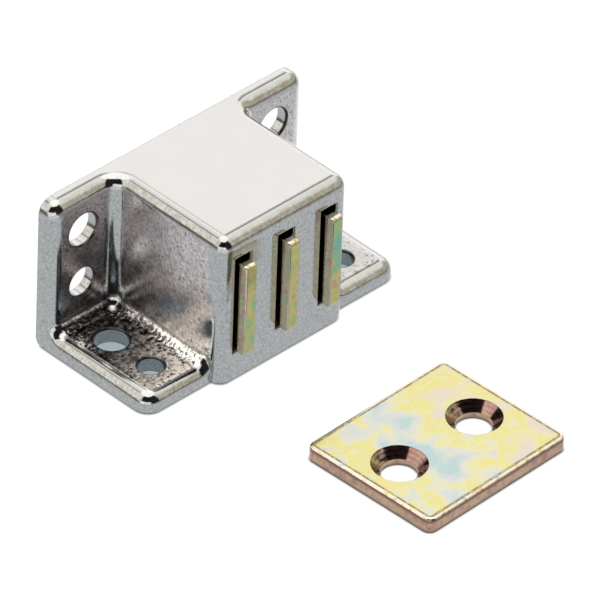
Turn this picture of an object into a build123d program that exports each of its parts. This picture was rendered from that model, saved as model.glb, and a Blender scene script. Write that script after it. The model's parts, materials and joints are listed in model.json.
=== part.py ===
from build123d import *
import os

# A magnetic catch for cabinet and enclosure doors, with its strike plate.
#
# A die-cast housing has two mounting flanges at a right angle, so that it can be screwed down
# on its base or on its back. Its box holds a pack of three steel pole plates with a ferrite
# magnet between each two, in a moulded holder. The pack rocks on a rib behind it, so that the
# tips of the pole plates, which stand out through three slots, lie flat on the strike plate.
#
# The origin is on the base plane, midway between the two large base holes. X runs along the
# catch, -Y is the way that the pole plates face, and Z is up.

# ---- pack of pole plates and magnets ---------------------------------------------------------
pole_pitch = 8.5
pole_thickness = 2.0
pole_tongue_height = 16.0   # the part that passes through a slot
pole_projection = 1.9       # tongue tips beyond the front face
pole_tip_round = 0.8
pole_edge_round = 0.2       # stamped edges, all round each side
pack_height = 18.4          # pole plates behind the slots, and magnets
magnet_depth = 17.0
magnet_bevel = 0.3
pole_side_float = 0.5       # tongue to slot, on each side
pole_end_float = 0.45       # tongue to slot, above and below, if the two were level
slot_rise = 0.3             # middle of the slots above the middle of the pack
shoulder_gap = 0.6          # front wall to the shoulders of the pole plates

# ---- holder ----------------------------------------------------------------------------------
holder_cheek = 1.0
holder_lip = 0.7
holder_back = 1.6
pocket_depth = 13.0         # how deep the pack sits in the holder
holder_round = 1.0
pack_fit = 0.05             # all round the pack in its pocket
holder_side_float = 0.6     # holder to cavity wall
holder_end_float = 0.3
rib_height = 2.65           # rocking rib, from the back of the holder
rib_round = 1.2
rib_gap = 0.1               # rib to back cover

# ---- housing ---------------------------------------------------------------------------------
front_wall = 2.1
side_wall = 1.45
floor_wall = 3.0            # base plane to the cavity
top_wall = 2.3
wing_width = 12.45          # each flange beyond the box
back_thickness = 2.9        # back flange, at its edge
base_thickness = 3.1        # base flange, at its edge
nose_projection = 1.8       # front face of the box beyond the base flange
cavity_corner = 1.0
outer_round = 2.0           # outer edges of the casting
inner_round = 2.0           # fillets in the inner corners
back_corner = 2.4           # corners of the back flange
base_corner = 2.6           # corners of the base flange
heel_round = 1.5            # where the two mounting planes meet
toe_round = 0.7             # lower front edge of the box
foot_round = 0.35           # edges of the base flange at the base plane
slot_edge_round = 0.3

# Each mounting plane is relieved inside a rim, which leaves a thinner web.
relief_rim = 1.6
heel_land = 0.6             # flat of the rim beside the heel
relief_corner = 1.2
back_relief = 1.0
base_relief = 0.5

# ---- screw holes, in the middle of each wing -------------------------------------------------
base_hole_setback = 9.2     # back plane to the large base holes
base_hole_step = 8.2        # large to small base holes
base_large_r = 2.6
base_small_r = 2.0
back_lower_z = 9.8
back_hole_step = 9.4        # lower to upper back holes
back_upper_r = 2.7
back_lower_r = 2.35
hole_edge_round = 0.3

# ---- back cover and the stakes that hold it --------------------------------------------------
cover_thickness = 0.6
cover_lap = 2.6             # beyond the cavity, left and right
cover_corner = 1.0
cover_fit = 0.2             # to the wall of the relief, above and below
stake_r = 1.0
stake_head_r = 1.6
stake_head = 0.3
stake_fit = 0.1
stake_rise = 6.0            # above and below the middle of the cavity

# ---- strike plate ----------------------------------------------------------------------------
strike_length = 28.5
strike_width = 24.4
strike_thickness = 2.5
strike_corner = 1.3
strike_edge_round = 0.5
strike_hole_spacing = 15.5
strike_hole_r = 2.75
strike_sink_r = 4.2
strike_sink_angle = 90
strike_setback = 56.5       # back plane to the middle of the strike plate, where it lies
strike_shift = 0.3
strike_turn = 2.1           # degrees, as it lies in front of the catch

# ---- sizes that follow -----------------------------------------------------------------------
magnet_thickness = pole_pitch - pole_thickness
pocket_width = 2 * pole_pitch + pole_thickness + 2 * pack_fit
pocket_height = pack_height + 2 * pack_fit
holder_width = pocket_width + 2 * holder_cheek
holder_height = pocket_height + 2 * holder_lip
cavity_width = holder_width + 2 * holder_side_float
cavity_height = holder_height + 2 * holder_end_float
slot_width = pole_thickness + 2 * pole_side_float
slot_height = pole_tongue_height + 2 * pole_end_float
block_width = cavity_width + 2 * side_wall
length = block_width + 2 * wing_width
height = floor_wall + cavity_height + top_wall
pack_centre_z = floor_wall + cavity_height / 2

# ---- planes from back to front ---------------------------------------------------------------
back_y = base_hole_setback
back_floor_y = back_y - back_relief
flange_front_y = back_y - back_thickness
rib_crest_y = back_floor_y - rib_gap
holder_rear_y = rib_crest_y - rib_height
pocket_floor_y = holder_rear_y - holder_back
pack_back_y = pocket_floor_y - pack_fit
pack_front_y = pack_back_y - magnet_depth
cavity_front_y = pack_front_y - shoulder_gap
block_front_y = cavity_front_y - front_wall
pole_tip_y = block_front_y - pole_projection
base_front_y = block_front_y + nose_projection
base_depth = back_y - base_front_y
nose_root = 2 * outer_round                        # how far the nose reaches back into the box
strike_y = back_y - strike_setback

rear_plane = Plane.XZ.offset(-back_y)              # looks forward, local Y is up
relief_plane = Plane.XZ.offset(-back_floor_y)
cover_plane = Plane.XZ.offset(-(back_floor_y + cover_thickness))
flange_plane = Plane.XZ.offset(-flange_front_y)
front_plane = Plane.XZ.offset(-block_front_y)
strike_plane = Plane(origin=(strike_shift, strike_y, 0)).rotated((0, 0, strike_turn))

# ---- places ----------------------------------------------------------------------------------
cover_width = cavity_width + 2 * cover_lap
relief_bottom = heel_round + heel_land
relief_top = height - relief_rim
hole_x = (block_width + wing_width) / 2
stake_x = cavity_width / 2 + cover_lap / 2
base_holes = [(0, base_large_r), (-base_hole_step, base_small_r)]
back_holes = [(back_lower_z, back_lower_r), (back_lower_z + back_hole_step, back_upper_r)]
slot_places = [(i * pole_pitch, pack_centre_z + slot_rise) for i in (-1, 0, 1)]
stake_places = [(i * stake_x, pack_centre_z + j * stake_rise) for i in (-1, 1) for j in (-1, 1)]

TOL = 1e-4


def near(a, b):
    return abs(a - b) < TOL


def lies_in(edge, axis, value):
    """True where the whole edge lies at this value of X, Y or Z."""
    box = edge.bounding_box()
    return near(getattr(box.min, axis), value) and near(getattr(box.max, axis), value)


def touches(edge, axis, value):
    box = edge.bounding_box()
    return near(getattr(box.min, axis), value) or near(getattr(box.max, axis), value)


def is_inner_corner(edge):
    """The edges where two walls of the casting meet in an inner corner."""
    centre = edge.center()
    at_side = near(abs(centre.X), block_width / 2)
    at_base = near(centre.Z, base_thickness)
    at_flange = near(centre.Y, flange_front_y)
    return [at_side, at_base, at_flange].count(True) == 2


def is_outline(edge):
    """The front outline of the flanges and the box, without its rear and lower edges."""
    if touches(edge, "Y", back_y) or touches(edge, "Z", 0):
        return False
    flat = (
        lies_in(edge, "Z", height)
        or lies_in(edge, "Y", base_front_y)
        or lies_in(edge, "X", length / 2)
        or lies_in(edge, "X", -length / 2)
    )
    if flat:
        return True
    round_corner = edge.geom_type == GeomType.CIRCLE and (
        near(edge.radius, base_corner) or near(edge.radius, back_corner)
    )
    return round_corner


def is_nose_outline(edge):
    """The front and top edges of the nose, without its toe."""
    at_front = lies_in(edge, "Y", block_front_y) and not lies_in(edge, "Z", 0)
    along_top = lies_in(edge, "Z", height) and lies_in(edge, "X", block_width / 2)
    along_top = along_top or lies_in(edge, "Z", height) and lies_in(edge, "X", -block_width / 2)
    return at_front or along_top


def is_slot_rim(edge):
    """The edges of the slots on the front face."""
    centre = edge.center()
    across = abs(centre.X) < pole_pitch + slot_width / 2 + TOL
    along = abs(centre.Z - pack_centre_z - slot_rise) < slot_height / 2 + TOL
    return lies_in(edge, "Y", block_front_y) and across and along


def is_foot(edge):
    """The outline of the base flange at the base plane, without the heel and the nose."""
    if not lies_in(edge, "Z", 0):
        return False
    at_end = lies_in(edge, "X", length / 2) or lies_in(edge, "X", -length / 2)
    at_corner = edge.geom_type == GeomType.CIRCLE and near(edge.radius, base_corner)
    return at_end or at_corner or lies_in(edge, "Y", base_front_y)


def is_hole_mouth(edge):
    """The upper or front edge of each screw hole."""
    if edge.geom_type != GeomType.CIRCLE:
        return False
    at_face = lies_in(edge, "Z", base_thickness) or lies_in(edge, "Y", flange_front_y)
    return at_face and near(abs(edge.arc_center.X), hole_x)


# ---- the nose: the front of the box, which stands out beyond the base flange ------------------
with BuildPart() as nose:
    with BuildSketch(Plane.XZ.offset(-(base_front_y + nose_root))):
        with Locations((0, height / 2)):
            Rectangle(block_width, height)
    extrude(amount=nose_root + nose_projection)
    fillet(nose.edges().filter_by(is_nose_outline), outer_round)
    toe = nose.edges().filter_by(lambda edge: lies_in(edge, "Z", 0) and lies_in(edge, "Y", block_front_y))
    fillet(toe, toe_round)

# ---- the casting -----------------------------------------------------------------------------
with BuildPart() as housing:
    with BuildSketch(rear_plane) as back_flange:
        with Locations((0, height / 2)):
            Rectangle(length, height)
        fillet(back_flange.vertices().group_by(Axis.Y)[-1], back_corner)
    extrude(amount=back_thickness)
    with BuildSketch(Plane.XY) as base_flange:
        with Locations((0, back_y - base_depth / 2)):
            Rectangle(length, base_depth)
        fillet(base_flange.vertices().group_by(Axis.Y)[0], base_corner)
    extrude(amount=base_thickness)
    with BuildSketch(rear_plane):
        with Locations((0, height / 2)):
            Rectangle(block_width, height)
    extrude(amount=base_depth)
    fillet(housing.edges().filter_by(is_inner_corner), inner_round)
    fillet(housing.edges().filter_by(is_outline), outer_round)
    fillet(housing.edges().filter_by(is_foot), foot_round)
    add(nose.part)

    # the heel, rounded along its whole length
    with BuildSketch(Plane.YZ.offset(-length / 2)):
        with Locations((back_y - heel_round / 2, heel_round / 2)):
            Rectangle(heel_round, heel_round)
        with Locations((back_y - heel_round, heel_round)):
            Circle(heel_round, mode=Mode.SUBTRACT)
    extrude(amount=length, mode=Mode.SUBTRACT)

    # relief of the two mounting planes, inside a rim
    with BuildSketch(rear_plane) as back_pocket:
        with Locations((0, (relief_top + relief_bottom) / 2)):
            Rectangle(length - 2 * relief_rim, relief_top - relief_bottom)
        fillet(back_pocket.vertices(), relief_corner)
    extrude(amount=back_relief, mode=Mode.SUBTRACT)
    with BuildSketch(Plane.XY) as base_pocket:
        with Locations((0, (base_front_y + relief_rim + back_y - relief_bottom) / 2)):
            Rectangle(length - 2 * relief_rim, base_depth - relief_rim - relief_bottom)
        fillet(base_pocket.vertices(), relief_corner)
    extrude(amount=base_relief, mode=Mode.SUBTRACT)

    # the cavity, open at the back
    with BuildSketch(relief_plane) as cavity:
        with Locations((0, pack_centre_z)):
            Rectangle(cavity_width, cavity_height)
        fillet(cavity.vertices(), cavity_corner)
    extrude(amount=back_floor_y - cavity_front_y, mode=Mode.SUBTRACT)

    # the slots for the pole plates
    with BuildSketch(front_plane):
        with Locations(*slot_places):
            Rectangle(slot_width, slot_height)
    extrude(amount=-front_wall, mode=Mode.SUBTRACT)
    fillet(housing.edges().filter_by(is_slot_rim), slot_edge_round)

    # screw holes, two in each wing of each flange
    for x in (-hole_x, hole_x):
        for y, radius in base_holes:
            with Locations((x, y, base_thickness)):
                Hole(radius, base_thickness)
        for z, radius in back_holes:
            with Locations(flange_plane):
                with Locations((x, z)):
                    Hole(radius, back_thickness)
    fillet(housing.edges().filter_by(is_hole_mouth), hole_edge_round)

    # stakes that hold the back cover, peened over it
    with BuildSketch(relief_plane):
        with Locations(*stake_places):
            Circle(stake_r)
    extrude(amount=-(cover_thickness + stake_head))
    with BuildSketch(cover_plane):
        with Locations(*stake_places):
            Circle(stake_head_r)
    extrude(amount=-stake_head)

# ---- back cover: a thin sheet over the cavity ---------------------------------------------------
with BuildPart() as back_cover:
    with BuildSketch(relief_plane) as cover_outline:
        with Locations((0, (relief_top + relief_bottom) / 2)):
            Rectangle(cover_width, relief_top - relief_bottom - 2 * cover_fit)
        fillet(cover_outline.vertices(), cover_corner)
        with Locations(*stake_places):
            Circle(stake_r + stake_fit, mode=Mode.SUBTRACT)
    extrude(amount=-cover_thickness)

# ---- pole plates: a tall body between the magnets, and a tongue with rounded tips ---------------
def pole_plate(x):
    with BuildPart() as plate:
        with BuildSketch(Plane.YZ.offset(x - pole_thickness / 2)) as outline:
            with Locations(((pack_front_y + pack_back_y) / 2, pack_centre_z)):
                Rectangle(magnet_depth, pack_height)
            with Locations(((pole_tip_y + pack_front_y) / 2, pack_centre_z)):
                Rectangle(pack_front_y - pole_tip_y, pole_tongue_height)
            fillet(outline.vertices().group_by(Axis.X)[0], pole_tip_round)
        extrude(amount=pole_thickness)
        fillet(plate.faces().filter_by(Axis.X).edges(), pole_edge_round)
    return plate


# ---- magnets: blocks that fill the gaps between the plates ---------------------------------------
def magnet(x):
    with BuildPart() as block:
        with BuildSketch(Plane.YZ.offset(x - magnet_thickness / 2)):
            with Locations(((pack_front_y + pack_back_y) / 2, pack_centre_z)):
                Rectangle(magnet_depth, pack_height)
        extrude(amount=magnet_thickness)
        chamfer(block.edges(), magnet_bevel)
    return block


# ---- holder: a moulded tray, open at the front, with a rocking rib behind -----------------------
with BuildPart() as magnet_holder:
    with BuildSketch(Plane.XZ.offset(-holder_rear_y)) as tray:
        with Locations((0, pack_centre_z)):
            Rectangle(holder_width, holder_height)
        fillet(tray.vertices(), holder_round)
    extrude(amount=holder_back + pocket_depth)
    with BuildSketch(Plane.XZ.offset(-pocket_floor_y)):
        with Locations((0, pack_centre_z)):
            Rectangle(pocket_width, pocket_height)
    extrude(amount=pocket_depth, mode=Mode.SUBTRACT)
    with BuildSketch(Plane.XY.offset(pack_centre_z - holder_height / 2)):
        with Locations((0, (holder_rear_y + rib_crest_y) / 2 - rib_round / 2)):
            Rectangle(2 * rib_round, rib_crest_y - holder_rear_y - rib_round)
        with Locations((0, rib_crest_y - rib_round)):
            Circle(rib_round)
    extrude(amount=holder_height)

# ---- strike plate, as it lies in front of the catch ----------------------------------------------
with BuildPart() as strike_plate:
    with BuildSketch(strike_plane) as strike_outline:
        Rectangle(strike_length, strike_width)
        fillet(strike_outline.vertices(), strike_corner)
    extrude(amount=strike_thickness)
    fillet(strike_plate.faces().sort_by(Axis.Z)[-1].edges(), strike_edge_round)
    with Locations(strike_plane.offset(strike_thickness)):
        with Locations((-strike_hole_spacing / 2, 0), (strike_hole_spacing / 2, 0)):
            CounterSinkHole(strike_hole_r, strike_sink_r, strike_thickness, strike_sink_angle)

# ---- the pieces ----------------------------------------------------------------------------------
pieces = {
    "housing": housing,
    "back_cover": back_cover,
    "magnet_holder": magnet_holder,
    "pole_plate_left": pole_plate(-pole_pitch),
    "pole_plate_centre": pole_plate(0),
    "pole_plate_right": pole_plate(pole_pitch),
    "magnet_left": magnet(-pole_pitch / 2),
    "magnet_right": magnet(pole_pitch / 2),
    "strike_plate": strike_plate,
}

os.makedirs("parts", exist_ok=True)
for name, piece in pieces.items():
    piece.part.label = name
    export_step(piece.part, f"parts/{name}.step")
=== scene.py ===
# %% [markdown]
# # A magnetic catch with its strike plate
#
# The catch is a plated zinc casting with three steel pole plates in its front. The strike plate
# is a small piece of steel for the door. Every solid comes from the construction model, so this
# lesson is about finishes and light: bright plating shows what is around it, and most of its
# look is made by the studio that it stands in.

# %% Load the construction model
import json
import math

import bpy
from mathutils import Matrix, Vector


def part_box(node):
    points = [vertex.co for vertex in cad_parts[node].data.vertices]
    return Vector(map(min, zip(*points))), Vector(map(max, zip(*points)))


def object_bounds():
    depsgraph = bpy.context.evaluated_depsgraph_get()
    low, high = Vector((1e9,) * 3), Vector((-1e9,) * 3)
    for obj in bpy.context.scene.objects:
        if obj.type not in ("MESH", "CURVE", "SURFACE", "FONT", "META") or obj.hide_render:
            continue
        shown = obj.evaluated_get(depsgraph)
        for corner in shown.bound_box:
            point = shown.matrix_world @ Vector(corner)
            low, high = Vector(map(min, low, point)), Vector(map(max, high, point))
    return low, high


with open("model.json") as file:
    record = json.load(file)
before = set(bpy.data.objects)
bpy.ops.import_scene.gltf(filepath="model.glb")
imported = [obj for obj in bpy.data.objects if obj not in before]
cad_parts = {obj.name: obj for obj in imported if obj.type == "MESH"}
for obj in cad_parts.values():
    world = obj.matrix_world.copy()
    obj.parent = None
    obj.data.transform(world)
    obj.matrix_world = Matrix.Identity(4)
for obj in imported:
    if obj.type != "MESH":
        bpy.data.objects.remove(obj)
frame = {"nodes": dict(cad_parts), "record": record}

cad_low, cad_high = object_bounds()
scene = bpy.context.scene
MM = 0.001
print("the model is", [round(size / MM, 1) for size in cad_high - cad_low], "mm")

# %% [markdown]
# ## Building materials from nodes
#
# A material is a small network of nodes. Writing each node out takes many lines, so a few
# helpers keep the recipes short. The first adds a node, fills in its inputs, and links those
# inputs that are given the output of another node. The second starts a material and returns its
# shader. Plain numbers that are the same all over a piece are set on the shader's own sockets.

# %% Nodes, shaders and places
def add_node(tree, kind, inputs=None, **settings):
    """Adds a node. inputs maps a socket's name or number to a value or to another socket."""
    node = tree.nodes.new(kind)
    for name, value in settings.items():
        setattr(node, name, value)
    for key, value in (inputs or {}).items():
        if isinstance(value, bpy.types.NodeSocket):
            tree.links.new(value, node.inputs[key])
        else:
            node.inputs[key].default_value = value
    return node


def start_material(name, metallic, **constants):
    """A new material with one principled shader, whose plain numbers are set on its own sockets."""
    material = bpy.data.materials.new(name)
    material.use_nodes = True
    shader = material.node_tree.nodes["Principled BSDF"]
    shader.inputs["Metallic"].default_value = metallic
    for key, value in constants.items():
        shader.inputs[key].default_value = value
    return material, material.node_tree, shader


def object_place(tree):
    """Coordinates on the piece itself, in metres, so that a pattern stays with the piece."""
    return add_node(tree, "ShaderNodeTexCoord").outputs["Object"]


def coat(material, *nodes):
    """Gives the nodes this material."""
    for name in nodes:
        piece = frame["nodes"][name]
        piece.data.materials.clear()
        piece.data.materials.append(material)
    print(material.name, "on", ", ".join(nodes))


# %% [markdown]
# ## Patterns
#
# No finish is one even colour. Noise gives soft random values, a ramp turns them into colours,
# and a bump turns them into relief that is too fine to model. All sizes are in metres on the
# piece, so a speck keeps its true size wherever the piece goes.

# %% Patterns
def noise(tree, place, size, detail=2.0, roughness=0.5, distortion=0.0):
    """Soft random values around 0.5, with blots about size metres across."""
    node = add_node(tree, "ShaderNodeTexNoise", {
        "Vector": place, "Scale": 1 / size, "Detail": detail,
        "Roughness": roughness, "Distortion": distortion,
    })
    return node.outputs["Fac"]


def ramp(tree, value, stops):
    """Turns a value into a colour by way of stops, each a place from 0 to 1 and a colour."""
    node = add_node(tree, "ShaderNodeValToRGB", {"Fac": value})
    elements = node.color_ramp.elements
    while len(elements) < len(stops):
        elements.new(1.0)
    for element, (place, colour) in zip(elements, stops):
        element.position = place
        element.color = (*colour, 1.0)
    return node.outputs["Color"]


def spread(tree, value, low, high, from_low=0.3, from_high=0.7):
    """Stretches the middle of a noise over the range from low to high."""
    node = add_node(tree, "ShaderNodeMapRange", {
        "Value": value, "From Min": from_low, "From Max": from_high, "To Min": low, "To Max": high,
    })
    return node.outputs["Result"]


def bump(tree, height, depth, below=None):
    """Raises the surface by depth metres where height is 1, on top of another bump if given."""
    inputs = {"Height": height, "Strength": 1.0, "Distance": depth}
    if below is not None:
        inputs["Normal"] = below
    return add_node(tree, "ShaderNodeBump", inputs).outputs["Normal"]


def soft_edges(tree, radius):
    """Rounds the shading of sharp edges, as plating and wear do."""
    return add_node(tree, "ShaderNodeBevel", {"Radius": radius}, samples=4).outputs["Normal"]


# %% [markdown]
# ## Masks
#
# A finish changes from place to place: it is thick on an edge, thin in a corner, worn on a tip.
# A mask is a value from 0 to 1 that says where. It comes from the place on the piece or from the
# way the surface faces, with a soft step at its border. Where two things have to hold, their
# masks are multiplied.

# %% Arithmetic
def maths(tree, operation, *values):
    """One step of arithmetic on numbers, such as ADD or MAXIMUM."""
    return add_node(tree, "ShaderNodeMath", dict(enumerate(values)), operation=operation).outputs[0]


def vector_maths(tree, operation, *values):
    """One step of arithmetic on vectors. The first output is a vector, and Value is a number."""
    return add_node(
        tree, "ShaderNodeVectorMath", dict(enumerate(values)), operation=operation).outputs


def add_values(tree, first, second):
    return maths(tree, "ADD", first, second)


def times(tree, *values):
    result = values[0]
    for value in values[1:]:
        result = maths(tree, "MULTIPLY", result, value)
    return result


def either(tree, first, second):
    return maths(tree, "MAXIMUM", first, second)


def distance_from(tree, value, middle):
    return maths(tree, "ABSOLUTE", maths(tree, "SUBTRACT", value, middle))


# %% Masks
def step_up(tree, value, start, end):
    """0 below start and 1 above end. With end below start it steps down instead."""
    node = add_node(tree, "ShaderNodeMapRange", {
        "Value": value, "From Min": start, "From Max": end}, interpolation_type="SMOOTHSTEP")
    return node.outputs["Result"]


def split(tree, vector):
    """The three numbers of a vector."""
    return add_node(tree, "ShaderNodeSeparateXYZ", {0: vector}).outputs


def facing(tree):
    """Which way the surface faces, as three numbers."""
    return split(tree, add_node(tree, "ShaderNodeNewGeometry").outputs["Normal"])


def level_faces(tree, faces):
    """1 on faces that look straight up."""
    return step_up(tree, faces[2], 0.985, 0.998)


# %% Mixing by a mask
def blend(tree, amount, first, second):
    """Mixes two colours."""
    node = add_node(tree, "ShaderNodeMix", {0: amount}, data_type="RGBA")
    for socket, value in ((6, first), (7, second)):
        if isinstance(value, bpy.types.NodeSocket):
            tree.links.new(value, node.inputs[socket])
        else:
            node.inputs[socket].default_value = (*value, 1)
    return node.outputs[2]


def mix_values(tree, amount, first, second):
    """first where amount is 0 and second where it is 1. Each may be a number or a socket."""
    node = add_node(tree, "ShaderNodeMapRange", {
        "Value": amount, "To Min": first, "To Max": second})
    return node.outputs["Result"]


# %% [markdown]
# ## Where the plating changes
#
# The housing is cast in zinc and plated bright, but not evenly. The bath hardly moves in the two
# pockets between the box and the flanges, so their walls stay dull and speckled, and crumbs of
# metal settle along the border of each wing's flat top, where glints are painted too. The rounded
# mouths of the screw holes are painted near black, as a painted shade. These places could be
# painted by hand, but then they would lie off as soon as a size changed. So each is found from the
# sizes of the casting.

# %% Places on the casting
BLOCK_HALF = 12.6 * MM      # middle of the catch to the side of its box
WING_TOP = 3.1 * MM         # thickness of the base flange
FLANGE_FRONT = cad_high.y - 2.9 * MM
ROUND = 2.0 * MM            # outer edges
NOSE = 1.8 * MM             # the box beyond the base flange
BORDER = (0.9 * MM, 0.3 * MM)
housing_low, housing_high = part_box("housing")


def in_pocket(tree, axes):
    """1 on the walls of the two pockets between the box and the flanges, and 0 elsewhere."""
    side = distance_from(tree, axes[0], 0)
    edge = 0.05 * MM
    out_of_corner = either(
        tree,
        step_up(tree, side, BLOCK_HALF + ROUND - edge, BLOCK_HALF + ROUND),
        step_up(tree, axes[1], FLANGE_FRONT - ROUND + edge, FLANGE_FRONT - ROUND),
    )
    return times(
        tree,
        out_of_corner,
        step_up(tree, side, BLOCK_HALF - 2 * edge, BLOCK_HALF - edge),
        step_up(tree, side, housing_high.x - ROUND + edge, housing_high.x - ROUND - edge),
        step_up(tree, axes[1], FLANGE_FRONT + 2 * edge, FLANGE_FRONT + edge),
        step_up(tree, axes[1], housing_low.y + ROUND, housing_low.y + 2 * ROUND),
        step_up(tree, axes[2], WING_TOP - 2 * edge, WING_TOP - edge),
        step_up(tree, axes[2], housing_high.z - ROUND + edge, housing_high.z - ROUND - edge),
    )


def on_border(tree, axes):
    """1 along the border of the flat top of each wing, where the plating has built up and the
    painted glints are stronger.
    """
    side = distance_from(tree, axes[0], 0)
    x_ends = (BLOCK_HALF + ROUND, housing_high.x - ROUND)
    y_ends = (housing_low.y + NOSE + ROUND, FLANGE_FRONT - ROUND)
    borders = []
    for axis, ends in ((side, x_ends), (axes[1], y_ends)):
        away = distance_from(tree, axis, sum(ends) / 2)
        half = (ends[1] - ends[0]) / 2
        borders.append(step_up(tree, away, half - BORDER[0], half - BORDER[1]))
    return either(tree, *borders)


print("each wing is", round((housing_high.x - BLOCK_HALF) / MM, 2), "mm wide")

# %% Mouths of the screw holes
HOLES = {
    # the axis that the holes run along
    "base_holes_large": 2,
    "base_holes_small": 2,
    "back_holes_lower": 1,
    "back_holes_upper": 1,
}
MOUNTS = {mount["name"]: mount for mount in frame["record"]["mounts"]}


def around_mouth(tree, axes, mount, along):
    """1 on the rounded mouths of a pair of holes, one in each wing."""
    hole_x = mount["dims"]["spacing_x_mm"] / 2 * MM
    radius = mount["dims"]["hole_r_mm"] * MM
    nearest = maths(
        tree, "MINIMUM",
        distance_from(tree, axes[0], hole_x),
        distance_from(tree, axes[0], -hole_x),
    )
    across = add_values(tree, axes[3 - along], -mount["pos_m"][3 - along])
    squares = add_values(tree, times(tree, nearest, nearest), times(tree, across, across))
    away = maths(tree, "SQRT", squares)
    face = {2: WING_TOP, 1: FLANGE_FRONT}[along]
    return times(
        tree,
        step_up(tree, away, radius - 0.05 * MM, radius),
        step_up(tree, away, radius + 0.36 * MM, radius + 0.24 * MM),
        step_up(tree, distance_from(tree, axes[along], face), 0.45 * MM, 0.35 * MM),
    )


def at_hole_mouths(tree, axes):
    """1 on the rounded mouths of all the screw holes."""
    mouths = [around_mouth(tree, axes, MOUNTS[name], along) for name, along in HOLES.items()]
    result = mouths[0]
    for mouth in mouths[1:]:
        result = either(tree, result, mouth)
    return result


print("hole radii", [MOUNTS[name]["dims"]["hole_r_mm"] for name in HOLES], "mm")

# %% [markdown]
# ## Colours of the plating
#
# The open faces are nearly even. Upright ones carry a fine salt and pepper grain, and the rounds
# between them have brown stains where the rinse water stood. The walls of the pockets are speckled
# in warm greys. The wing tops carry crumbs, painted almost black with near-white specks, which are
# painted dark reflections and glints, and the left one is painted brighter toward the front. The
# right side faces the light. So its wing top is painted a flatter grey where the same crumbs hardly
# show, and its pocket walls get only half of their colour: both are painted light.

# %% Colours of the plating
def outer_plating(tree, place, faces, speckle):
    """The open faces and the rounds between them."""
    clean = ramp(tree, noise(tree, place, 6 * MM, detail=3), [
        (0.35, (0.360, 0.378, 0.378)),
        (0.65, (0.370, 0.390, 0.390)),
    ])
    ground = ramp(tree, noise(tree, place, 6 * MM, detail=3), [
        (0.35, (0.396, 0.408, 0.414)),
        (0.65, (0.404, 0.418, 0.424)),
    ])
    clean = blend(tree, level_faces(tree, faces), clean, ground)
    grained = ramp(tree, speckle, [
        (0.30, (0.235, 0.255, 0.270)),
        (0.44, (0.342, 0.362, 0.368)),
        (0.56, (0.376, 0.394, 0.394)),
        (0.70, (0.470, 0.485, 0.480)),
    ])
    upright = step_up(tree, distance_from(tree, faces[2], 0), 0.95, 0.60)
    outside = blend(tree, upright, clean, grained)
    rounded = times(
        tree,
        step_up(tree, faces[2], 0.15, 0.40),
        step_up(tree, faces[2], 0.97, 0.75),
        step_up(tree, noise(tree, place, 0.9 * MM, detail=4, roughness=0.7), 0.40, 0.64),
    )
    return blend(tree, times(tree, rounded, 0.60), outside, (0.245, 0.215, 0.185))


def pocket_plating(tree, speckle):
    """The dull walls of the pockets."""
    return ramp(tree, speckle, [
        (0.32, (0.15, 0.125, 0.135)),
        (0.45, (0.43, 0.40, 0.41)),
        (0.58, (0.53, 0.505, 0.49)),
        (0.70, (0.66, 0.63, 0.61)),
    ])


def wing_crumbs_and_painted_light(tree, axes, right, crumbs_and_glints):
    """The flat tops of the wings. Near-black and near-white specks over the crumb relief are
    painted dark reflections and glints, painted brighter toward the front on the left; the right
    one is painted a flatter grey for the light it faces.
    """
    # Painted light: the left wing is painted brighter toward the front.
    front_brightening = step_up(tree, axes[1], 2 * MM, -9 * MM)
    # Painted dark reflections and glints: near-black and near-white specks over the crumbs.
    left_wing_specks_and_glints = ramp(tree, add_values(tree, crumbs_and_glints, times(tree, front_brightening, 0.14)), [
        (0.38, (0.035, 0.032, 0.036)),
        (0.47, (0.24, 0.22, 0.225)),
        (0.56, (0.52, 0.50, 0.48)),
        (0.66, (0.98, 0.96, 0.92)),
    ])
    # Painted light: the right wing faces the light, so it is painted a flatter grey.
    right_wing_painted_light = ramp(tree, crumbs_and_glints, [
        (0.26, (0.16, 0.165, 0.17)),
        (0.40, (0.31, 0.325, 0.32)),
        (0.60, (0.345, 0.36, 0.35)),
    ])
    return blend(tree, right, left_wing_specks_and_glints, right_wing_painted_light)


# %% [markdown]
# ## The plated casting
#
# The die leaves a surface that is flat from a step away and slightly wavy close up, like orange
# peel, and the plating follows it. A flat grey can't show that, so the relief has several layers:
# softened edges, broad waves, a fine grain, pits in the pockets, and the crumbs on the wings. A
# level face lies under the full light and has a thin haze, which a metal shader can't give by
# itself: there the shader is part metal and part plain grey.

# %% The plated casting
def plating_gloss(tree, place, pocket, chain):
    """Roughness: bright outside, dull in the pockets, and bright again along the borders of the
    wing tops.
    """
    smooth = spread(tree, noise(tree, place, 2.5 * MM, detail=4), 0.06, 0.12)
    dull = spread(tree, noise(tree, place, 1.5 * MM, detail=4), 0.18, 0.30)
    dull = mix_values(tree, chain, dull, 0.12)
    return mix_values(tree, pocket, smooth, dull)


def plating_relief(tree, place, pitted, crusted):
    """The layers of relief, from the broadest to the finest."""
    edges = soft_edges(tree, 0.22 * MM)
    waves = bump(tree, noise(tree, place, 2.0 * MM, detail=1), 0.005 * MM, below=edges)
    grain = bump(tree, noise(tree, place, 0.35 * MM, detail=3), 0.005 * MM, below=waves)
    pits = bump(tree, pitted, 0.012 * MM, below=grain)
    return bump(tree, crusted, 0.045 * MM, below=pits)


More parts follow.
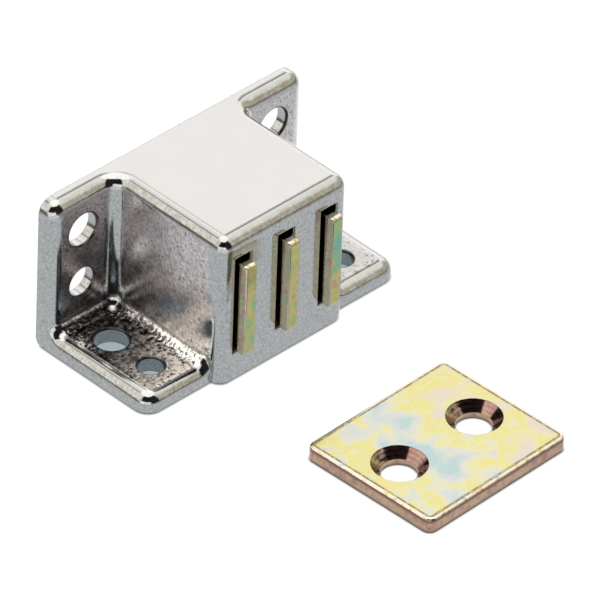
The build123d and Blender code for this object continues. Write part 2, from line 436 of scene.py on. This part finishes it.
def plated_zinc():
    material, tree, shader = start_material("plated_zinc", 1.0)
    place = object_place(tree)
    axes = split(tree, place)
    faces = facing(tree)
    pocket = in_pocket(tree, axes)
    right = step_up(tree, axes[0], -MM, MM)
    low_down = times(tree, pocket, step_up(tree, axes[2], WING_TOP + ROUND, WING_TOP))
    chain = times(tree, low_down, on_border(tree, axes))
    speckle = noise(tree, place, 0.40 * MM, detail=3, roughness=0.65)
    crumbs_and_glints = noise(tree, place, 0.55 * MM, detail=2, roughness=0.6)
    # Along the wing borders the specks get more contrast: stronger painted glints and dark
    # reflections.
    glint_contrast = mix_values(tree, chain, 1.0, 1.8)
    crumbs_and_glints = add_values(tree, times(tree, add_values(tree, crumbs_and_glints, -0.5), glint_contrast), 0.49)

    colour = outer_plating(tree, place, faces, speckle)
    # Painted light: on the right, which faces the light, the pocket walls get only half of their
    # colour.
    walls = times(tree, pocket, mix_values(tree, right, 1.0, 0.5))
    colour = blend(tree, walls, colour, pocket_plating(tree, speckle))
    # The wing tops: crumbs with painted dark reflections and glints, and painted light on the
    # right.
    colour = blend(tree, low_down, colour, wing_crumbs_and_painted_light(tree, axes, right, crumbs_and_glints))
    # Painted shade: the rounded mouths of the screw holes are painted near black.
    mouths = times(tree, at_hole_mouths(tree, axes), 0.85)
    colour = blend(tree, mouths, colour, (0.03, 0.028, 0.03))
    tree.links.new(colour, shader.inputs["Base Color"])

    hazy = times(tree, level_faces(tree, faces), mix_values(tree, pocket, 1.0, 0.0))
    tree.links.new(mix_values(tree, hazy, 1.0, 0.62), shader.inputs["Metallic"])
    tree.links.new(plating_gloss(tree, place, pocket, chain), shader.inputs["Roughness"])
    pitted = times(tree, pocket, speckle)
    crusted = times(tree, low_down, crumbs_and_glints, mix_values(tree, right, 1.0, 0.15))
    tree.links.new(plating_relief(tree, place, pitted, crusted), shader.inputs["Normal"])
    return material


coat(plated_zinc(), "housing")

# %% [markdown]
# ## Yellow chromate
#
# The pole plates and the strike plate are steel, zinc plated and dipped in yellow chromate. The
# film is thinner than a wavelength in places, so it shows pale yellow, green, blue-grey and pink
# in soft patches. The patches follow how the bath ran off and not the shape, so a noise picks a
# place on a ramp of those colours. Under the film is rolled steel with a fine grain.

# %% Film and polish
def chromate(tree, place, patch, tints, lean):
    """The colour of the film. lean is a value added to the noise, so that one end leans one way."""
    film = noise(tree, place, patch, detail=2.5, roughness=0.5, distortion=0.15)
    fine = noise(tree, place, 0.45 * MM, detail=2)
    film = add_values(tree, film, times(tree, add_values(tree, fine, -0.5), 0.16))
    film = add_values(tree, times(tree, film, 0.85), lean)
    return ramp(tree, film, tints)


def polish(tree, shader, place, colour, edge):
    """The finish under the film: rolled steel with a fine grain and edges softened by edge."""
    tree.links.new(colour, shader.inputs["Base Color"])
    satin = spread(tree, noise(tree, place, 1.2 * MM, detail=4), 0.08, 0.16)
    tree.links.new(satin, shader.inputs["Roughness"])
    edges = soft_edges(tree, edge)
    grain = bump(tree, noise(tree, place, 0.35 * MM, detail=2), 0.004 * MM, below=edges)
    tree.links.new(grain, shader.inputs["Normal"])


# %% [markdown]
# ## The strike plate
#
# The strike plate is stamped from sheet. The film is thinnest, and so bluest, in a band where the
# bath ran off, and it turns pink toward the right end. The cut sides are brown, darker along the
# upper edge, and painted darker at the bottom as shade next to the table. The rim carries a painted
# highlight, with a broken dark line just inside it that is a painted dark reflection. The
# countersinks are turned on a machine, which leaves rings, and their cones are painted dark as
# shade, yellow where they face right and reddish where they face left, as painted light. The plate
# lies slightly turned, so the distance to its outline is measured along the plate's own sides.

# %% Inside its outline
STRIKE_TURN = math.radians(2.1)
STRIKE_HALF = (14.25 * MM, 12.2 * MM)
STRIKE_CORNER = 1.3 * MM
strike_low, strike_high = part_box("strike_plate")


def inset(tree, place):
    """How far a point lies inside the rounded outline of the strike plate."""
    local = vector_maths(tree, "SUBTRACT", place, (strike_low + strike_high) / 2)[0]
    local = vector_maths(tree, "MULTIPLY", local, (1, 1, 0))[0]
    local = add_node(tree, "ShaderNodeVectorRotate", {
        "Vector": local, "Angle": -STRIKE_TURN}, rotation_type="Z_AXIS").outputs[0]
    local = vector_maths(tree, "ABSOLUTE", local)[0]
    corner = [half - STRIKE_CORNER for half in STRIKE_HALF]
    past = vector_maths(tree, "SUBTRACT", local, (*corner, 0))[0]
    out = vector_maths(tree, "MAXIMUM", past, (0, 0, 0))[0]
    length = vector_maths(tree, "LENGTH", out)["Value"]
    sides = split(tree, past)
    within = maths(tree, "MINIMUM", either(tree, sides[0], sides[1]), 0.0)
    return maths(tree, "SUBTRACT", STRIKE_CORNER, add_values(tree, length, within))


print("the strike plate is", [round(2 * half / MM, 1) for half in STRIKE_HALF], "mm")

# %% Film, cut sides and rim
THIN_BAND = -2.9 * MM       # middle of the band where the film is thin


def strike_film(tree, place, axes):
    """The chromate on the broad face."""
    thin = step_up(tree, distance_from(tree, axes[0], THIN_BAND), 0.5 * MM, 9 * MM)
    ran_off = step_up(tree, axes[0], 5 * MM, 14 * MM)
    lean = add_values(tree, times(tree, thin, 0.17), times(tree, ran_off, 0.11))
    return chromate(tree, place, 4.2 * MM, [
        (0.31, (0.260, 0.362, 0.370)),
        (0.39, (0.345, 0.388, 0.382)),
        (0.46, (0.385, 0.405, 0.350)),
        (0.51, (0.420, 0.425, 0.250)),
        (0.58, (0.430, 0.408, 0.150)),
        (0.65, (0.425, 0.418, 0.225)),
        (0.74, (0.405, 0.378, 0.330)),
    ], lean)


def cut_sides(tree, place, axes, faces):
    """The stamped sides: bright at the back, darker along the upper edge, and painted darker at the
    bottom as shade next to the table.
    """
    cut = ramp(tree, noise(tree, place, 1.2 * MM, detail=4, roughness=0.7), [
        (0.34, (0.30, 0.18, 0.15)),
        (0.50, (0.43, 0.29, 0.21)),
        (0.66, (0.46, 0.36, 0.21)),
    ])
    cut = blend(tree, step_up(tree, faces[1], 0.6, 0.9), cut, (0.80, 0.77, 0.72))
    # Darker along the upper edge.
    upper = step_up(tree, axes[2], 1.55 * MM, 1.95 * MM)
    darker_above = times(tree, upper, step_up(tree, faces[1], 0.6, 0.3))
    cut = blend(tree, darker_above, cut, (0.21, 0.115, 0.09))
    # Painted shade: darker at the bottom of the sides, next to the table.
    foot_shade = step_up(tree, axes[2], 0.7 * MM, 0.1 * MM)
    return blend(tree, foot_shade, cut, (0.20, 0.155, 0.12))


def painted_rim_highlight(tree, place, axes, depth):
    """1 along the upper edge, where a highlight is painted in a light colour."""
    return times(
        tree,
        step_up(tree, depth, 0.52 * MM, 0.40 * MM),
        step_up(tree, axes[2], 2.15 * MM, 2.30 * MM),
        step_up(tree, noise(tree, place, 0.9 * MM, detail=2), 0.30, 0.50),
    )


def painted_dark_reflection(tree, place, depth):
    """1 on the dark line inside the rim, a painted dark reflection, with lighter dashes."""
    dashes = step_up(tree, noise(tree, place, 0.8 * MM, detail=2), 0.40, 0.52)
    return times(
        tree,
        step_up(tree, depth, 0.46 * MM, 0.60 * MM),
        step_up(tree, depth, 0.98 * MM, 0.80 * MM),
        mix_values(tree, dashes, 0.55, 0.95),
    )


# %% The countersinks
TURNING = 12000.0           # radians a metre, which makes a ring every 0.52 mm


def in_countersink(tree, faces, depth):
    """1 on the cones of the two countersinks."""
    return times(
        tree,
        step_up(tree, depth, 2.0 * MM, 2.5 * MM),
        step_up(tree, faces[2], 0.95, 0.85),
        step_up(tree, faces[2], 0.2, 0.4),
    )


def turned_rings_and_painted_light(tree, place, axes, faces):
    """Turned rings on a cone painted dark as shade, yellow where it faces right and reddish where
    it faces left, as painted light.
    """
    rings = maths(tree, "SINE", maths(tree, "MULTIPLY", axes[2], TURNING))
    marks = add_values(tree, times(tree, rings, 0.12), noise(tree, place, 0.9 * MM, detail=3))
    # Painted shade: the cone is dark in the recess, with real turned rings in it.
    turned = ramp(tree, marks, [
        (0.35, (0.03, 0.02, 0.022)),
        (0.50, (0.16, 0.10, 0.10)),
        (0.66, (0.30, 0.22, 0.18)),
    ])
    # Painted light: the cone is painted yellow where it faces right and reddish where it faces
    # left.
    turned = blend(tree, step_up(tree, faces[0], 0.1, 0.6), turned, (0.44, 0.40, 0.16))
    reddish = times(tree, step_up(tree, faces[0], -0.1, -0.7), 0.6)
    return blend(tree, reddish, turned, (0.36, 0.21, 0.19))


# %% The chromated strike plate
def strike_chromate():
    material, tree, shader = start_material("strike_chromate", 1.0)
    place = object_place(tree)
    axes = split(tree, place)
    faces = facing(tree)
    depth = inset(tree, place)
    broad = strike_film(tree, place, axes)
    sides = cut_sides(tree, place, axes, faces)
    colour = blend(tree, step_up(tree, faces[2], 0.70, 0.50), broad, sides)
    # Painted highlight: a light colour along the rim.
    colour = blend(tree, painted_rim_highlight(tree, place, axes, depth), colour, (0.60, 0.54, 0.47))
    # Painted reflection: a broken dark line just inside the rim.
    line = painted_dark_reflection(tree, place, depth)
    colour = blend(tree, line, colour, (0.14, 0.12, 0.075))
    cone = turned_rings_and_painted_light(tree, place, axes, faces)
    colour = blend(tree, in_countersink(tree, faces, depth), colour, cone)
    hazy = times(tree, level_faces(tree, faces), mix_values(tree, line, 1.0, 0.0))
    tree.links.new(mix_values(tree, hazy, 1.0, 0.65), shader.inputs["Metallic"])
    polish(tree, shader, place, colour, 0.12 * MM)
    return material


coat(strike_chromate(), "strike_plate")

# %% [markdown]
# ## The pole plates
#
# The three pole plates had the same bath, but they hung together, so the film leans to green on the
# right one and to red low on the middle one. Their stamped edges are worn grey. On top of the tips,
# the faces that look up are painted a light grey, as a painted highlight.

# %% The chromated pole plates
def pole_film(tree, place, axes):
    """The chromate on the fronts of the plates."""
    greener = step_up(tree, axes[0], 3 * MM, 6 * MM)
    lower = step_up(tree, axes[2], 15 * MM, 6 * MM)
    redder = times(tree, lower, step_up(tree, axes[0], -5 * MM, -2 * MM))
    lean = add_values(tree, times(tree, greener, -0.05), times(tree, redder, 0.08))
    return chromate(tree, place, 2.6 * MM, [
        (0.26, (0.15, 0.35, 0.27)),
        (0.36, (0.26, 0.37, 0.18)),
        (0.43, (0.38, 0.36, 0.14)),
        (0.50, (0.43, 0.39, 0.16)),
        (0.56, (0.36, 0.30, 0.15)),
        (0.64, (0.46, 0.23, 0.21)),
    ], lean)


def pole_chromate():
    material, tree, shader = start_material("pole_chromate", 1.0)
    place = object_place(tree)
    faces = facing(tree)
    sheared = ramp(tree, noise(tree, place, 1.6 * MM, detail=4, roughness=0.7, distortion=0.5), [
        (0.32, (0.50, 0.62, 0.40)),
        (0.44, (0.70, 0.68, 0.46)),
        (0.54, (0.74, 0.56, 0.44)),
        (0.66, (0.60, 0.40, 0.36)),
    ])
    sideways = distance_from(tree, faces[0], 0)
    film = pole_film(tree, place, split(tree, place))
    colour = blend(tree, step_up(tree, sideways, 0.88, 0.96), film, sheared)
    worn = times(tree, step_up(tree, sideways, 0.15, 0.35), step_up(tree, sideways, 0.95, 0.85))
    colour = blend(tree, worn, colour, (0.33, 0.30, 0.25))
    # Painted highlight: the faces that look up, on top of the tips, are painted a light grey in
    # blots.
    painted_top_highlight = times(
        tree,
        step_up(tree, faces[2], 0.3, 0.8),
        step_up(tree, noise(tree, place, 0.7 * MM, detail=3), 0.40, 0.55),
    )
    colour = blend(tree, painted_top_highlight, colour, (0.56, 0.53, 0.50))
    polish(tree, shader, place, colour, 0.06 * MM)
    return material


coat(pole_chromate(), "pole_plate_left", "pole_plate_centre", "pole_plate_right")

# %% [markdown]
# ## What is inside and behind
#
# The magnets are ferrite, a dark ceramic with a ground surface. Their holder is black nylon. The
# cover behind is thin steel with a plain zinc plating, duller than the casting. All three need
# only a colour, a roughness and a grain that vary a little, so one recipe serves them, with the
# size of each pattern, its colours and its relief as its ingredients.

# %% Ferrite, nylon and the cover's steel
def plain_finish(material, tree, shader, mottle, detail, tints, satin, gloss, grain, depth):
    """Colours in blots of mottle, roughness in blots of satin, and relief in blots of grain."""
    place = object_place(tree)
    dark, light = tints
    colour = ramp(tree, noise(tree, place, mottle, detail=detail), [(0.3, dark), (0.7, light)])
    tree.links.new(colour, shader.inputs["Base Color"])
    tree.links.new(spread(tree, noise(tree, place, satin), *gloss), shader.inputs["Roughness"])
    tree.links.new(bump(tree, noise(tree, place, grain), depth), shader.inputs["Normal"])
    return material


def ferrite():
    return plain_finish(
        *start_material("ground_ferrite", 0.0, **{"IOR": 1.7}),
        mottle=0.6 * MM, detail=4, tints=((0.020, 0.020, 0.022), (0.050, 0.050, 0.055)),
        satin=0.4 * MM, gloss=(0.5, 0.7), grain=0.2 * MM, depth=0.01 * MM,
    )


def black_nylon():
    return plain_finish(
        *start_material("black_nylon_finish", 0.0, **{"IOR": 1.53}),
        mottle=2 * MM, detail=2, tints=((0.012, 0.012, 0.013), (0.022, 0.022, 0.024)),
        satin=0.5 * MM, gloss=(0.42, 0.6), grain=0.15 * MM, depth=0.006 * MM,
    )


def zinc_plated_sheet():
    return plain_finish(
        *start_material("zinc_plated_sheet", 1.0),
        mottle=5 * MM, detail=4, tints=((0.50, 0.52, 0.54), (0.62, 0.63, 0.64)),
        satin=1.5 * MM, gloss=(0.28, 0.42), grain=0.8 * MM, depth=0.006 * MM,
    )


coat(ferrite(), "magnet_left", "magnet_right")
coat(black_nylon(), "magnet_holder")
coat(zinc_plated_sheet(), "back_cover")

# %% [markdown]
# ## Fields of light and dark
#
# Bright metal shows its surroundings, so they have to be worth showing. Lamps and panels could be
# built around the table, but each would also light the scene and cast shadows. Here the
# surroundings are painted instead: a field is a patch between two azimuths and two elevations
# as seen from the catch, with soft borders and a colour of its own.

# %% Fields of light and dark
def direction(azimuth, elevation):
    """The unit vector from the object to a place at this azimuth and elevation, in degrees."""
    a, e = math.radians(azimuth), math.radians(elevation)
    return Vector((math.sin(a) * math.cos(e), -math.cos(a) * math.cos(e), math.sin(e)))


def in_field(tree, towards, azimuth, half_width, low, high, soft):
    """1 inside a field between two azimuths and two elevations, with soft borders."""
    height = split(tree, towards)["Z"]
    sine = [math.sin(math.radians(value)) for value in (low - soft, low, high, high + soft)]
    masks = []
    if low > -90:
        masks.append(step_up(tree, height, sine[0], sine[1]))
    if high < 90:
        masks.append(step_up(tree, height, sine[3], sine[2]))
    if half_width < 180:
        level = vector_maths(tree, "MULTIPLY", towards, (1, 1, 0))[0]
        level = vector_maths(tree, "NORMALIZE", level)[0]
        along = vector_maths(tree, "DOT_PRODUCT", level, direction(azimuth, 0))["Value"]
        edges = [math.cos(math.radians(half_width + extra)) for extra in (soft, 0)]
        masks.append(step_up(tree, along, *edges))
    return times(tree, *masks)


def paint_fields(tree, towards, ground, fields):
    """Lays the fields over a ground colour, one after another."""
    result = add_node(tree, "ShaderNodeRGB").outputs[0]
    result.default_value = (*ground, 1)
    for *place, tint in fields:
        result = blend(tree, in_field(tree, towards, *place), result, tint)
    return result


def plain_to_the_eye(tree, light):
    """Plain white where the camera looks straight at it, and light for all that it lights."""
    seen = add_node(tree, "ShaderNodeLightPath").outputs["Is Camera Ray"]
    return blend(tree, seen, light, (1.0, 1.0, 1.0))


# %% [markdown]
# ## The table
#
# Small parts like this are shown on a white table that is lit from within, so that hardly a
# shadow is left. A plane with light of its own does, and there are no lamps. Seen directly it is
# plain white. What the metal reflects is the same table with a grey end and two bright ones, as
# a real one looks from down where the parts stand. Under the casting no light gets in, so the
# table is blue-grey there, and a thin line of contact shadow runs around each foot.

# %% The lit table
TABLE_SIZE = 6.0
TABLE_GAP = 0.02 * MM       # below the parts
EYE_LEVEL = 12 * MM         # the height on the catch from which the fields are laid out
TABLE = (0.985, 0.99, 1.0)
TABLE_FIELDS = [
    # azimuth of the middle, half width, lowest, highest, softness, colour
    (0, 180, -5, 90, 1.5, (0.70, 0.65, 0.56)),
    (-135, 40, -5, 90, 1.5, (0.40, 0.36, 0.31)),
    (5, 18, -5, 90, 3, (0.36, 0.34, 0.31)),
    (-50, 34, -9, 90, 3, (1.46, 1.44, 1.42)),
    (105, 22, -16, 90, 6, (1.55, 1.53, 1.48)),
]


def under_housing(tree, axes):
    """1 under the casting, a little inside its outline."""
    rim = 1.5 * MM
    return times(
        tree,
        step_up(tree, axes[0], housing_low.x + rim, housing_low.x + 2 * rim),
        step_up(tree, axes[0], housing_high.x - rim, housing_high.x - 2 * rim),
        step_up(tree, axes[1], housing_low.y + 3 * MM, housing_low.y + 4 * MM),
        step_up(tree, axes[1], housing_high.y - rim, housing_high.y - 2 * rim),
    )


def lit_table():
    material, tree, shader = start_material("lit_table", 0.0, **{
        "Base Color": (0.02, 0.02, 0.02, 1),
        "Roughness": 0.9,
        "Specular IOR Level": 0.0,
        "Emission Strength": 1.0,
    })
    place = object_place(tree)
    towards = vector_maths(tree, "ADD", place, (0, 0, -EYE_LEVEL))[0]
    towards = vector_maths(tree, "NORMALIZE", towards)[0]
    light = plain_to_the_eye(tree, paint_fields(tree, towards, TABLE, TABLE_FIELDS))
    light = blend(tree, under_housing(tree, split(tree, place)), light, (0.36, 0.42, 0.46))
    contact = add_node(tree, "ShaderNodeAmbientOcclusion", {
        "Color": light, "Distance": 0.35 * MM}, samples=8)
    tree.links.new(contact.outputs["Color"], shader.inputs["Emission Color"])
    return material


bpy.ops.mesh.primitive_plane_add(size=TABLE_SIZE, location=(0, 0, cad_low.z - TABLE_GAP))
table = bpy.context.object
table.name = "table"
table.data.materials.append(lit_table())
print("the table has", len(TABLE_FIELDS), "fields")

# %% [markdown]
# ## The studio
#
# The world is a plain dome with fields of its own: white light above and behind, cream walls at
# the sides, and the unlit end of the room, where the viewer stands. The dark end matters most.
# The inner corners and the round outer corners of the casting turn its reflection back, and so
# they look deep. Seen directly, the dome is plain white, as the table is.

# %% The dome
WALL = (1.86, 1.78, 1.62)
FIELDS = [
    # azimuth of the middle, half width, lowest, highest, softness, colour
    (-130, 60, -90, 5, 10, (1.25, 1.18, 1.03)),
    (57, 36, -90, 33, 14, (1.08, 1.00, 0.82)),
    (135, 28, 6, 90, 8, (2.26, 2.10, 2.02)),
    (121, 8, 40, 90, 1, (0.70, 0.66, 0.60)),
    (142, 3.5, 40.5, 90, 1, (1.35, 1.28, 1.20)),
    (-156, 5, 40, 90, 2, (0.70, 0.65, 0.58)),
    (0, 180, 60, 90, 3, (2.60, 2.52, 2.40)),
    (0, 180, -90, 4, 3, (0.30, 0.26, 0.22)),
    (-135, 40, -90, 6, 2, (0.20, 0.17, 0.15)),
    (-55, 33, -90, 17, 3, (2.20, 2.17, 2.12)),
    (-55, 33, 20, 61, 3, (0.026, 0.022, 0.024)),
    (2, 25, -90, 60, 3, (0.040, 0.035, 0.038)),
]


def build_dome():
    world = bpy.data.worlds.new("studio")
    world.use_nodes = True
    scene.world = world
    tree = world.node_tree
    towards = add_node(tree, "ShaderNodeTexCoord").outputs["Generated"]
    light = plain_to_the_eye(tree, paint_fields(tree, towards, WALL, FIELDS))
    tree.links.new(light, tree.nodes["Background"].inputs["Color"])
    print("the dome has", len(FIELDS), "fields over its wall colour")


build_dome()

# %% [markdown]
# ## The camera
#
# The catch is looked down on from the front left, from nearly two metres away with a long lens,
# so its parallel edges stay parallel. The camera aims at a point between the catch and the
# strike plate, and leans a little to the side. The colours are shown as they are, with no film
# look over them, because the greys of the plating are close together.

# %% The camera
AZIMUTH = -45.28
ELEVATION = 37.72
ROLL = 2.17                 # how far it leans to the side, in degrees
LENS = 778
DISTANCE = 1.8785
OFFSET_RIGHT = -19.985 * MM
OFFSET_DOWN = -3.836 * MM


def build_camera():
    a = math.radians(AZIMUTH)
    roll = math.radians(ROLL)
    back = direction(AZIMUTH, ELEVATION)
    right = Vector((math.cos(a), math.sin(a), 0))
    up = back.cross(right)
    right, up = (
        right * math.cos(roll) + up * math.sin(roll),
        up * math.cos(roll) - right * math.sin(roll),
    )
    heel = Vector((0, cad_high.y, 0))
    aim = heel - right * OFFSET_RIGHT + up * OFFSET_DOWN
    data = bpy.data.cameras.new("camera")
    data.lens = LENS
    data.sensor_width = 36
    data.clip_start, data.clip_end = 0.1, 20
    camera = bpy.data.objects.new("camera", data)
    camera.matrix_world = Matrix.Translation(aim + back * DISTANCE) @ Matrix(
        (right, up, back)).transposed().to_4x4()
    scene.collection.objects.link(camera)
    scene.camera = camera
    print("camera at", [round(value, 3) for value in camera.location])


build_camera()
scene.view_settings.view_transform = "Standard"
